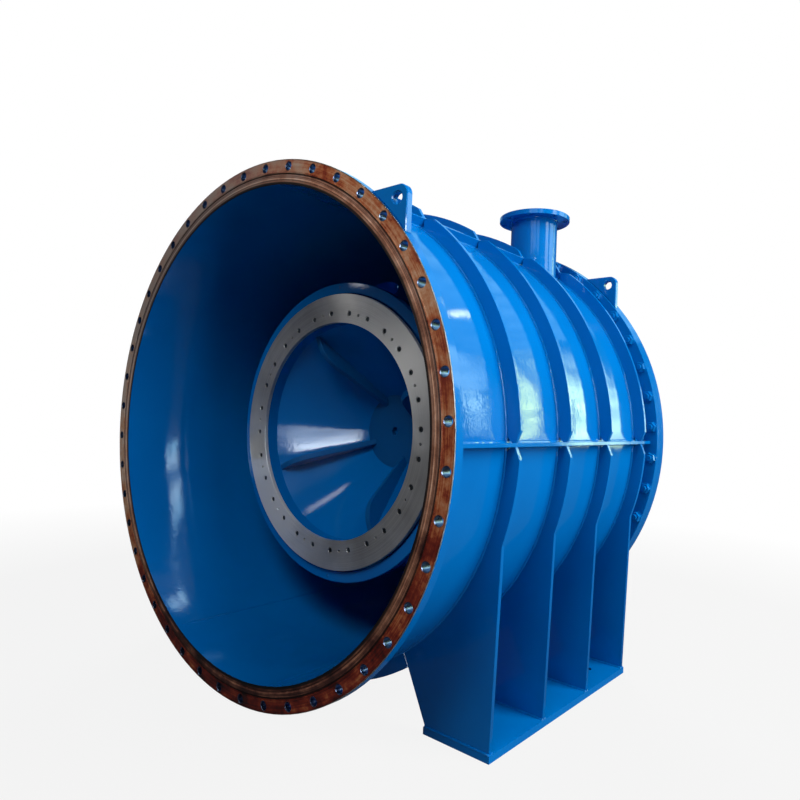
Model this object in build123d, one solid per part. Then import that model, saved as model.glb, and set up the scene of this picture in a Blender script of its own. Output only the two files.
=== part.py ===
"""In-line fixed cone valve: a ribbed discharge shell on leg plates, with the valve itself inside.

The valve's axis runs along Y. Water comes in at the inlet flange (+Y), passes the radial vanes, is
spread by the cone and leaves at the large discharge flange (-Y). A sleeve slides on the body to open.
X is to the right when looking into the discharge, Z is up, and the origin lies on the floor, midway
along the valve, under its axis. Stations are distances along the axis from the discharge face.
"""
import math
import os

from build123d import *

# Driving dimensions, in millimetres and degrees.
# Discharge shell and its two flanges
shell_bore_d = 1800.0
shell_wall = 24.0
axis_height = 1008.0
flange_reach = 66.0
flange_thickness = 38.0
flange_hole_edge = 25.0
flange_hole_d = 30.0
flange_hole_count = 44
end_plate_thickness = 38.0

# Ring ribs, stiffener bars and legs
rib_height = 54.0
rib_thickness = 16.0
rib_count = 4
first_rib_station = 352.0
rib_pitch = 339.0
rear_bay = 100.0
bar_thickness = 14.0
bar_height = 36.0
upper_bar_angle = 55.5
rib_corner_run = 42.0
rib_cope = 22.0
leg_shell_angle = 55.0
leg_shoulder_angle = 19.3
leg_foot_outer_x = 903.0
leg_foot_inner_x = 640.0
base_thickness = 25.0
base_overhang = 4.0
anchor_hole_d = 28.0
anchor_hole_inset = 97.0
anchor_hole_spacing = 772.0

# Lifting lugs
lug_thickness = 26.0
lug_standout = 72.0
lug_corner_radius = 34.0
lug_hole_d = 38.0
lug_hole_inset = 41.0

# Air vents
vent_x = 490.0
vent_pipe_d = 210.0
vent_pipe_wall = 8.0
vent_rise = 92.0
vent_flange_reach = 55.0
vent_flange_thickness = 22.0
vent_hole_edge = 20.0
vent_hole_d = 18.0
vent_hole_count = 8

# Retaining ring on the cone's rim: sunk screws, with a jacking hole in every second gap
ring_station = 437.0
ring_thickness = 18.0
ring_width = 121.5
ring_clearance = 6.0
ring_hole_edge = 81.0
ring_screw_count = 28
ring_screw_d = 14.0
ring_counterbore_d = 22.0
ring_counterbore_depth = 11.0
ring_jack_d = 11.0

# Cone
cone_rim_inset = 4.0
cone_rim_thickness = 40.0
cone_lip_depth = 52.0
cone_depth = 333.0
cone_tip_d = 340.0
cone_wall = 22.0
tip_plate_thickness = 25.0
tip_hole_d = 38.0
fin_front_width = 108.0
fin_tip_height = 42.0
fin_corner_radius = 140.0

# Body, vanes and inlet flange
body_bore_d = 1100.0
body_wall = 25.0
body_port = 480.0
vane_count = 4
vane_angle = 25.0
vane_thickness = 24.0
vane_inset = 5.0
vane_run_in_body = 330.0
vane_nose_length = 90.0
vane_nose_d = 700.0
hub_d = 110.0
inlet_neck_length = 160.0
inlet_flange_reach = 97.5
inlet_flange_thickness = 40.0
inlet_hole_edge = 37.5
inlet_hole_d = 39.0
inlet_hole_count = 28

# Sliding sleeve and its guide strips
guide_thickness = 9.7
sleeve_wall = 22.0
sleeve_length = 560.0
sleeve_ring_reach = 22.0
sleeve_ring_length = 34.0
guide_count = 8
guide_width_angle = 5.0
guide_end_gap = 12.0
running_gap = 0.3
weld_gap = 0.2
overrun = 20.0

# Places worked out from the driving dimensions
rib_stations = [first_rib_station + rib_pitch * i for i in range(rib_count)]
shell_length = rib_stations[-1] + rib_thickness + rear_bay + flange_thickness
shell_r = shell_bore_d / 2 + shell_wall
flange_r = shell_r + flange_reach
rib_r = shell_r + rib_height
bar_r = shell_r + bar_height
bar_half = bar_thickness / 2
body_r = body_bore_d / 2 + body_wall
inlet_flange_r = body_r + inlet_flange_reach
guide_r = body_r + guide_thickness
sleeve_bore_r = guide_r + running_gap
sleeve_r = sleeve_bore_r + sleeve_wall
ring_r = sleeve_bore_r - ring_clearance
cone_mouth_r = ring_r - ring_width
cone_rim_r = ring_r - cone_rim_inset
vent_pipe_r = vent_pipe_d / 2
vent_flange_r = vent_pipe_r + vent_flange_reach
vent_top_height = shell_r + vent_rise
lug_half_width = flange_r * math.cos(math.radians(45)) + lug_standout
anchor_hole_x = leg_foot_outer_x - anchor_hole_inset
cone_rim_station = ring_station + ring_thickness
cone_start_station = cone_rim_station + cone_lip_depth
cone_tip_station = cone_start_station + cone_depth
body_station = cone_rim_station + body_port
end_plate_station = shell_length
inlet_station = end_plate_station + end_plate_thickness + inlet_neck_length
overall_length = inlet_station + inlet_flange_thickness
leg_foot_z = base_thickness - axis_height
vane_angles = [vane_angle + 360 / vane_count * i for i in range(vane_count)]
bay_rear_station = rib_stations[-1]
bay_front_station = rib_stations[-2] + rib_thickness
vent_station = (bay_front_station + bay_rear_station) / 2


def cross_plane(station):
    """Plane across the axis at a station: local x is X, local y is Z, centred on the axis."""
    return Plane(origin=(0, station - overall_length / 2, axis_height), x_dir=(1, 0, 0), z_dir=(0, -1, 0))


def slab(sketch, station, thickness):
    """Solid of a cross-section that runs from a station by its thickness towards the inlet."""
    return extrude(cross_plane(station + thickness) * sketch, amount=thickness)


def at(radius, angle):
    """Point of a cross-section at a radius and an angle from the right."""
    return (radius * math.cos(math.radians(angle)), radius * math.sin(math.radians(angle)))


def annulus(outer_r, inner_r):
    """Flat ring about the axis."""
    return Circle(outer_r) - Circle(inner_r)


def band(inner_r, outer_r, start, end):
    """Part of a flat ring between two angles."""
    outer = CenterArc((0, 0), outer_r, start, end - start)
    inner = CenterArc((0, 0), inner_r, start, end - start)
    return make_face([outer, inner, Line(outer @ 0, inner @ 0), Line(outer @ 1, inner @ 1)])


def hole_circle(radius, count, hole_d, start=None):
    """Holes on a circle that straddle the centrelines, or begin at an angle."""
    first = 180 / count if start is None else start
    return Sketch() + PolarLocations(radius, count, first) * Circle(hole_d / 2)


def turned(points):
    """Solid turned about the axis from points of radius and station."""
    profile = make_face(Polyline([(r, axial(s)) for r, s in points], close=True))
    half_section = Plane(origin=(0, 0, axis_height), x_dir=(1, 0, 0), z_dir=(0, 0, 1))
    return revolve(half_section * profile, axis=Axis((0, 0, axis_height), (0, 1, 0)))


def axial(station):
    """Y of a station."""
    return station - overall_length / 2


def mirrored(solid):
    """The same piece on the left."""
    return mirror(solid, about=Plane.YZ)


def make_shell_half(start):
    """Half of the rolled shell, with the vent openings cut through its upper half."""
    half = slab(band(shell_bore_d / 2, shell_r, start, start + 180), 0, shell_length)
    for x in (vent_x, -vent_x):
        half -= vent_core(x, vent_pipe_r - vent_pipe_wall)
    return half


def vent_core(x, radius):
    """Upright cylinder on a vent's axis, from the valve's axis up past its flange."""
    foot = Plane(origin=(x, axial(vent_station), axis_height), x_dir=(1, 0, 0), z_dir=(0, 0, 1))
    return extrude(foot * Circle(radius), amount=vent_top_height + overrun)


def make_vent_pipe():
    """Upright stub, saddled on the shell and flush with its flange's top."""
    outer = vent_core(vent_x, vent_pipe_r)
    bore = vent_core(vent_x, vent_pipe_r - vent_pipe_wall)
    shell_core = slab(Circle(shell_r), 0, shell_length)
    top = Plane(origin=(vent_x, axial(vent_station), axis_height + vent_top_height))
    above = extrude(top * Circle(vent_flange_r), amount=2 * overrun)
    return outer - bore - shell_core - above


def make_vent_flange():
    """Slip-on flange of the vent, with its bolt holes."""
    face = annulus(vent_flange_r, vent_pipe_r)
    face -= hole_circle(vent_flange_r - vent_hole_edge, vent_hole_count, vent_hole_d)
    under = axis_height + vent_top_height - vent_flange_thickness
    plane = Plane(origin=(vent_x, axial(vent_station), under))
    return extrude(plane * face, amount=vent_flange_thickness)


def bar_notch(angle):
    """Cut that a rib gets at a bar: the bar's slot, chamfered corners and copes on the shell."""
    run = rib_corner_run
    rise = rib_r - bar_r
    slot = [(shell_r - overrun, -bar_half), (bar_r, -bar_half), (bar_r + 2 * rise, -bar_half - 2 * run)]
    slot += [(bar_r + 2 * rise, bar_half + 2 * run), (bar_r, bar_half), (shell_r - overrun, bar_half)]
    cope = [(shell_r - rib_cope, -bar_half - 2 * rib_cope), (shell_r + rib_cope, -bar_half)]
    cope += [(shell_r + rib_cope, bar_half), (shell_r - rib_cope, bar_half + 2 * rib_cope)]
    cut = make_face(Polyline(slot, close=True)) + make_face(Polyline(cope, close=True))
    return Rot(0, 0, angle) * cut


def make_rib(station):
    """Ring rib in its parts: three segments between the bars over the top and one under the shell."""
    upper = band(shell_r, rib_r, 0, 180)
    for angle in (0, upper_bar_angle, 180 - upper_bar_angle, 180):
        upper -= bar_notch(angle)
    leg = leg_outline()
    lower = band(shell_r, rib_r, leg_shell_angle - 180, -leg_shell_angle) - leg - mirrored(leg)
    return slab(upper, station, rib_thickness) + slab(lower, station, rib_thickness)


def leg_outline():
    """Right leg plate: a rib down to its shoulder, then a tapering leg down to the base plate."""
    shoulder = at(rib_r, -leg_shoulder_angle)
    root = at(shell_r, -leg_shell_angle)
    rim = CenterArc((0, 0), rib_r, 0, -leg_shoulder_angle)
    saddle = CenterArc((0, 0), shell_r, -leg_shell_angle, leg_shell_angle)
    edge = Polyline([shoulder, (leg_foot_outer_x, leg_foot_z), (leg_foot_inner_x, leg_foot_z), root])
    top = Line((shell_r, 0), (rib_r, 0))
    return make_face([rim, edge, saddle, top]) - bar_notch(0)


def make_base():
    """Right base plate under the leg plates, with its anchor holes."""
    front = axial(rib_stations[0])
    rear = axial(rib_stations[-1] + rib_thickness)
    width = leg_foot_outer_x - leg_foot_inner_x + 2 * base_overhang
    length = rear - front + 2 * base_overhang
    middle = Pos((leg_foot_outer_x + leg_foot_inner_x) / 2, (front + rear) / 2)
    holes = Pos(anchor_hole_x, (front + rear) / 2) * GridLocations(0, anchor_hole_spacing, 1, 2)
    outline = middle * Rectangle(width, length) - holes * Circle(anchor_hole_d / 2)
    return extrude(outline, amount=base_thickness)


def make_bar(angle, start, end):
    """Stiffener bar that stands on the shell at an angle, between two stations."""
    section = Pos((shell_r + bar_r) / 2, 0) * Rectangle(bar_r - shell_r, bar_thickness)
    return slab(Rot(0, 0, angle) * section, start, end - start)


def make_upper_bar():
    """Upper right bar, broken where the vent stands in the last bay."""
    front = make_bar(upper_bar_angle, flange_thickness, bay_front_station)
    rear = make_bar(upper_bar_angle, bay_rear_station, shell_length - flange_thickness)
    return front + rear


def make_lug(station):
    """Right lifting lug: a square corner that stands on a flange's rim."""
    corner = Rectangle(lug_half_width, lug_half_width, align=(Align.MIN, Align.MIN))
    tip = corner.vertices().sort_by(Axis.X)[-2:].sort_by(Axis.Y)[-1]
    corner = fillet(tip, lug_corner_radius)
    hole = lug_half_width - lug_hole_inset
    corner -= Pos(hole, hole) * Circle(lug_hole_d / 2)
    return slab(corner - Circle(flange_r), station, lug_thickness)


def cone_outer_r(station):
    """Radius of the cone's outer face at a station."""
    slope = (cone_mouth_r - cone_tip_d / 2) / cone_depth
    offset = cone_wall * math.hypot(1, slope)
    return cone_mouth_r + offset - slope * (station - cone_start_station)


def make_ring():
    """Retaining ring with its counterbored screw holes and its jacking holes."""
    hole_r = ring_r - ring_hole_edge
    first = 360 / ring_screw_count / 4
    screw_holes = hole_circle(hole_r, ring_screw_count, ring_screw_d, first)
    jack_holes = hole_circle(hole_r, ring_screw_count // 2, ring_jack_d, -first)
    ring = slab(annulus(ring_r, cone_mouth_r) - screw_holes - jack_holes, ring_station, ring_thickness)
    sinks = hole_circle(hole_r, ring_screw_count, ring_counterbore_d, first)
    return ring - slab(sinks, ring_station - overrun, ring_counterbore_depth + overrun)


def make_cone():
    """Hollow cone with a straight lip and a thick rim that carries the retaining ring."""
    rim_back = cone_rim_station + cone_rim_thickness
    points = [(cone_mouth_r, cone_rim_station), (cone_rim_r, cone_rim_station)]
    points += [(cone_rim_r, rim_back), (cone_outer_r(rim_back), rim_back)]
    points += [(cone_outer_r(cone_tip_station), cone_tip_station), (cone_tip_d / 2, cone_tip_station)]
    points += [(cone_mouth_r, cone_start_station)]
    return turned(points)


def make_tip_plate():
    """Flat plate that closes the cone's tip, with its centre hole."""
    face = annulus(cone_outer_r(cone_tip_station), tip_hole_d / 2)
    return slab(face, cone_tip_station, tip_plate_thickness)


def radial_plate(outline, angle):
    """Plate in the half-plane through the axis at an angle, from an outline of radius against Y."""
    plate = extrude(outline, amount=vane_thickness / 2, both=True)
    return Pos(0, 0, axis_height) * Rot(0, -angle, 0) * plate


def make_fins():
    """Fins inside the cone, in line with the vanes: each has a rounded shoulder behind the mouth."""
    shoulder_r = cone_mouth_r - fin_front_width
    tip_r = cone_tip_d / 2
    points = [(cone_mouth_r + overrun, cone_start_station), (shoulder_r, cone_start_station)]
    points += [(tip_r - fin_tip_height, cone_tip_station), (tip_r + overrun, cone_tip_station)]
    outline = make_face(Polyline([(r, axial(s)) for r, s in points], close=True))
    front = outline.vertices().sort_by(Axis.Y)[:2]
    outline = fillet(front.sort_by(Axis.X)[0], fin_corner_radius)
    fins = Part()
    for angle in vane_angles:
        fins += radial_plate(outline, angle)
    return fins - make_cone()


def make_vane(angle):
    """Radial vane from the cone's back into the body."""
    rim_back = cone_rim_station + cone_rim_thickness
    plate_back = cone_tip_station + tip_plate_thickness
    bore_r = body_bore_d / 2 - weld_gap
    outer_r = body_r - vane_inset
    tail = body_station + vane_run_in_body
    points = [(cone_outer_r(rim_back), rim_back), (outer_r, rim_back)]
    points += [(outer_r, body_station), (bore_r, body_station), (bore_r, tail)]
    points += [(vane_nose_d / 2, tail + vane_nose_length), (hub_d / 2, tail + vane_nose_length)]
    points += [(hub_d / 2, plate_back), (cone_outer_r(cone_tip_station), plate_back)]
    points += [(cone_outer_r(cone_tip_station), cone_tip_station)]
    outline = make_face(Polyline([(r, axial(s)) for r, s in points], close=True))
    return radial_plate(outline, angle)


def make_hub():
    """Round bar on the axis where the vanes meet."""
    start = cone_tip_station + tip_plate_thickness
    end = body_station + vane_run_in_body + vane_nose_length
    return slab(Circle(hub_d / 2 - weld_gap), start, end - start)


def make_sleeve():
    """Sliding sleeve with a thick ring on its discharge end."""
    ring_outer_r = sleeve_r + sleeve_ring_reach
    end = cone_rim_station + sleeve_length
    ring_end = cone_rim_station + sleeve_ring_length
    points = [(sleeve_bore_r, cone_rim_station), (ring_outer_r, cone_rim_station), (ring_outer_r, ring_end)]
    points += [(sleeve_r, ring_end), (sleeve_r, end), (sleeve_bore_r, end)]
    return turned(points)


def make_guides():
    """Bronze strips on the body that the sleeve runs on."""
    start = body_station + guide_end_gap
    length = end_plate_station - guide_end_gap - start
    strips = Part()
    for i in range(guide_count):
        middle = (i + 0.5) * 360 / guide_count
        strip = band(body_r, guide_r, middle - guide_width_angle / 2, middle + guide_width_angle / 2)
        strips += slab(strip, start, length)
    return strips


pieces = {}

# Shell with its flanges
flange_holes = hole_circle(flange_r - flange_hole_edge, flange_hole_count, flange_hole_d)
flange_face = annulus(flange_r, shell_r) - flange_holes
pieces["discharge_flange"] = slab(flange_face, 0, flange_thickness)
pieces["shell_upper"] = make_shell_half(0)
pieces["shell_lower"] = make_shell_half(180)
pieces["rear_flange"] = slab(annulus(flange_r, shell_r), shell_length - flange_thickness, flange_thickness)
pieces["end_plate"] = slab(annulus(flange_r, body_r), end_plate_station, end_plate_thickness)

# Ribs, bars, legs and base plates
for i, station in enumerate(rib_stations, 1):
    pieces[f"rib_{i}"] = make_rib(station)
    leg = slab(leg_outline(), station, rib_thickness)
    pieces[f"leg_right_{i}"] = leg
    pieces[f"leg_left_{i}"] = mirrored(leg)
side_bar = make_bar(0, flange_thickness, shell_length - flange_thickness)
pieces["side_bar_right"] = side_bar
pieces["side_bar_left"] = mirrored(side_bar)
pieces["upper_bar_right"] = make_upper_bar()
pieces["upper_bar_left"] = mirrored(make_upper_bar())
pieces["base_plate_right"] = make_base()
pieces["base_plate_left"] = mirrored(make_base())

# Lifting lugs, on the right of both flanges' rims
lug_margin = (flange_thickness - lug_thickness) / 2
for end_name, flange_station in (("front", 0), ("rear", shell_length - flange_thickness)):
    pieces[f"lug_{end_name}_right"] = make_lug(flange_station + lug_margin)

# Air vents
pieces["vent_pipe_right"] = make_vent_pipe()
pieces["vent_pipe_left"] = mirrored(make_vent_pipe())
pieces["vent_flange_right"] = make_vent_flange()
pieces["vent_flange_left"] = mirrored(make_vent_flange())

# Valve inside the shell
pieces["retaining_ring"] = make_ring()
pieces["cone"] = make_cone()
pieces["cone_tip_plate"] = make_tip_plate()
pieces["cone_fins"] = make_fins()
for i, angle in enumerate(vane_angles, 1):
    pieces[f"vane_{i}"] = make_vane(angle)
pieces["vane_hub"] = make_hub()
body_face = annulus(body_r, body_bore_d / 2)
pieces["body_tube"] = slab(body_face, body_station, overall_length - body_station)
inlet_holes = hole_circle(inlet_flange_r - inlet_hole_edge, inlet_hole_count, inlet_hole_d)
inlet_face = annulus(inlet_flange_r, body_r) - inlet_holes
pieces["inlet_flange"] = slab(inlet_face, inlet_station, inlet_flange_thickness)
pieces["sleeve_guides"] = make_guides()
pieces["sleeve"] = make_sleeve()

os.makedirs("parts", exist_ok=True)
for name, piece in pieces.items():
    export_step(piece, f"parts/{name}.step")
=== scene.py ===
"""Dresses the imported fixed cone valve: enamel, rust, turned steel, fasteners and weld beads.

Everything is in metres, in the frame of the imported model: the valve's axis runs along Y with the
discharge at -Y, Z is up and the floor is at zero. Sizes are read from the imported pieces.
"""

import logging
import math
from abc import ABC, abstractmethod
from dataclasses import dataclass, field
from enum import Enum
from functools import partial
from typing import Callable, Iterable, Optional, Sequence

import bmesh
import bpy
from bpy.types import Material, Mesh, MeshPolygon, Node, NodeSocket, NodeTree, Object
from mathutils import Matrix, Vector


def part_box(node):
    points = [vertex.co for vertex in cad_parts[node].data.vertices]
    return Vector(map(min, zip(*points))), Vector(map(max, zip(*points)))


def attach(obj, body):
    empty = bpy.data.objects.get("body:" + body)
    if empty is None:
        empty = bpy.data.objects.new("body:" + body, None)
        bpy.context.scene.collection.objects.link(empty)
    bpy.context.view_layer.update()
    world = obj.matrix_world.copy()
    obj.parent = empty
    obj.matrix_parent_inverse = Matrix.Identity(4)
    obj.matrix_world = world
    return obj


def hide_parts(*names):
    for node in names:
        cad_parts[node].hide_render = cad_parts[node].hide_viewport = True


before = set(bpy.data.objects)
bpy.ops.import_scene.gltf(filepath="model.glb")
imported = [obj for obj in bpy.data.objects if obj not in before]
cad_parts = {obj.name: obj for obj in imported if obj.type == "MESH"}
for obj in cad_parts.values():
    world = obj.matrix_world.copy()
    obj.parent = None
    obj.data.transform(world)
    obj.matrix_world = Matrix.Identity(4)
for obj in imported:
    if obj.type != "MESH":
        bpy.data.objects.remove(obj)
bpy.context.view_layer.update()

log = logging.getLogger("fixed_cone_valve")

Point = tuple[float, float, float]
Range = tuple[float, float, float, float]
Stops = tuple[tuple[float, str], ...]
Line = list[Vector]
FaceRule = tuple[Callable[[MeshPolygon], bool], Material]

MM = 0.001
FULL_TURN = 2 * math.pi
Y_AXIS = 1
Z_AXIS = 2
SIDES = ("right", "left")
WHITE = "#ffffff"
RANGE = ("From Min", "From Max", "To Min", "To Max")


class Body(str, Enum):
    """Bodies of the valve that move as one."""

    VALVE = "valve"
    SLEEVE = "sleeve"


class Slot(str, Enum):
    """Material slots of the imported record."""

    PAINT = "blue_paint"
    RUST = "rusty_steel"
    STAINLESS = "stainless_steel"
    BRONZE = "bronze"


# Colour and node helpers


def linear(code: str) -> tuple[float, float, float, float]:
    """Turns an sRGB hex colour into linear RGBA.

    Args:
        code: Colour as "#rrggbb".
    Returns:
        Linear red, green, blue and an alpha of 1.
    """
    parts = [int(code[i:i + 2], 16) / 255 for i in (1, 3, 5)]
    values = [p / 12.92 if p <= 0.04045 else ((p + 0.055) / 1.055) ** 2.4 for p in parts]
    return (*values, 1.0)


def shown(sockets: Iterable[NodeSocket], name: Optional[str] = None) -> NodeSocket:
    """First socket that a node's settings leave in use, of a name if one is given."""
    return next(socket for socket in sockets if socket.enabled and name in (None, socket.name))


def wire(tree: NodeTree, node: Node, inputs: dict) -> None:
    """Sets or links a node's inputs.

    Args:
        tree: Tree of the node.
        node: Node whose inputs are set.
        inputs: Input sockets by name or index, each with a value or the socket or node it is linked to.
            A tuple of names takes as many of these.
    """
    for key, value in inputs.items():
        if isinstance(key, tuple):
            wire(tree, node, dict(zip(key, value)))
            continue
        socket = node.inputs[key] if isinstance(key, int) else shown(node.inputs, key)
        if isinstance(value, Node):
            value = shown(value.outputs)
        if isinstance(value, NodeSocket):
            tree.links.new(value, socket)
        else:
            socket.default_value = value


def add_node(tree: NodeTree, kind: str, inputs: Optional[dict] = None, stops: Stops = (),
             **settings: object) -> Node:
    """Adds a node with its settings, values and links.

    Args:
        tree: Tree that gets the node.
        kind: Blender's type name of the node.
        inputs: Values and links of its inputs.
        stops: Places and hex colours of a colour ramp, in order.
        settings: Properties of the node.
    Returns:
        The new node.
    """
    node = tree.nodes.new(kind)
    for name, value in settings.items():
        setattr(node, name, value)
    wire(tree, node, inputs or {})
    for i, (place, code) in enumerate(stops):
        elements = node.color_ramp.elements
        element = elements[i] if i < len(elements) else elements.new(place)
        element.position = place
        element.color = linear(code)
    return node


def per_metre(size_mm: float) -> float:
    """Texture scale whose pattern repeats about once in a size given in millimetres."""
    return 1000.0 / size_mm


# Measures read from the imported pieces


@dataclass(frozen=True)
class Span:
    """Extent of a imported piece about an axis."""

    inner: float
    outer: float
    front: float
    back: float


def across(arm: Vector, axis: int) -> Vector:
    """Part of a vector that lies across an axis."""
    return Vector([0.0 if i == axis else part for i, part in enumerate(arm)])


def measure(node: str) -> Span:
    """Radii about the valve's axis, and extent along it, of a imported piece.

    Args:
        node: Name of the piece.
    Returns:
        The piece's span.
    """
    arms = [across(v.co - CENTRE, Y_AXIS).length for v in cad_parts[node].data.vertices]
    low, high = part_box(node)
    return Span(min(arms), max(arms), low.y, high.y)


def valve_centre() -> Vector:
    """Point on the valve's axis."""
    low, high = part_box("discharge_flange")
    return Vector((0.0, 0.0, (low.z + high.z) / 2))


CENTRE = valve_centre()


# Finishes


class Finish(ABC):
    """A finish that can build its material."""

    @abstractmethod
    def shade(self, tree: NodeTree) -> dict:
        """Adds the finish's nodes and returns what the shader's inputs are set or linked to."""

    def build(self, name: str) -> Material:
        """Makes the material.

        Args:
            name: Name of the material.
        Returns:
            The material, with its nodes.
        """
        material = bpy.data.materials.new(name)
        material.use_nodes = True
        tree = material.node_tree
        wire(tree, tree.nodes["Principled BSDF"], self.shade(tree))
        return material


def polar(tree: NodeTree) -> tuple[Node, Node, Node]:
    """Adds nodes that give polar coordinates about the valve's axis.

    Args:
        tree: Tree of a material.
    Returns:
        Nodes of the radius in metres, of the unit vector away from the axis, and of X, Y and Z.
    """
    add = partial(add_node, tree)
    place = add("ShaderNodeTexCoord").outputs["Object"]
    shifted = add("ShaderNodeVectorMath", {0: place, 1: CENTRE}, operation="SUBTRACT")
    parts = add("ShaderNodeSeparateXYZ", {0: shifted})
    flat = add("ShaderNodeCombineXYZ", {"X": parts.outputs["X"], "Z": parts.outputs["Z"]})
    radius = add("ShaderNodeVectorMath", {0: flat}, operation="LENGTH")
    spoke = add("ShaderNodeVectorMath", {0: flat}, operation="NORMALIZE")
    return radius, spoke, parts


def wound(tree: NodeTree, radius: Node, spoke: Node, ring_mm: float, turns: float) -> Node:
    """Adds nodes that give texture coordinates drawn out round the valve's axis.

    Args:
        tree: Tree of a material.
        radius: Node of the radius in metres.
        spoke: Node of the unit vector away from the axis.
        ring_mm: Width of one ring.
        turns: Repeats along one radian.
    Returns:
        Node of the coordinates.
    """
    add = partial(add_node, tree)
    rings = add("ShaderNodeMath", {0: radius, 1: per_metre(ring_mm)}, operation="MULTIPLY")
    steps = add("ShaderNodeCombineXYZ", {"Y": rings})
    return add("ShaderNodeVectorMath", {0: spoke, 1: (turns,) * 3, 2: steps}, operation="MULTIPLY_ADD")


@dataclass(frozen=True)
class GlossEnamel(Finish):
    """Two-pack gloss enamel sprayed on blasted steel: deep, wet-looking, with orange peel and sags."""

    film: str = "#0069b4"
    thin: str = "#005ca5"
    patch_mm: float = 260.0
    patch_range: tuple[float, float] = (0.3, 0.75)
    gloss: float = 0.04
    dull: float = 0.13
    shine: float = 0.5
    ior: float = 1.5
    # Width and height in millimetres, and detail, of plate waves, sags and orange peel
    # The peel is about 3 mm wide on a real film, and is drawn coarser so that it shows
    relief: tuple[Point, ...] = ((230.0, 2.2, 0.0), (60.0, 0.32, 1.0), (10.0, 0.18, 1.0))

    def shade(self, tree: NodeTree) -> dict:
        """Mixes two film thicknesses, and bumps the film with plate waves, sags and orange peel.

        Args:
            tree: Tree of the material.
        Returns:
            The shader's inputs.
        """
        add = partial(add_node, tree)
        place = add("ShaderNodeTexCoord").outputs["Object"]
        patch = add("ShaderNodeTexNoise", {
            "Vector": place, "Scale": per_metre(self.patch_mm), "Detail": 4.0})
        colour = add("ShaderNodeMix", {
            "Factor": patch, "A": linear(self.thin), "B": linear(self.film)}, data_type="RGBA")
        rough = add("ShaderNodeMapRange", {
            "Value": patch, RANGE: (*self.patch_range, self.gloss, self.dull)})
        below = {}
        for width_mm, height_mm, detail in self.relief:
            noise = add("ShaderNodeTexNoise", {
                "Vector": place, "Scale": per_metre(width_mm), "Detail": detail})
            skin = add("ShaderNodeBump", {"Height": noise, "Distance": height_mm * MM, **below})
            below = {"Normal": skin}
        return {"Base Color": colour, "Roughness": rough, "IOR": self.ior,
                "Specular IOR Level": self.shine, **below}


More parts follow.
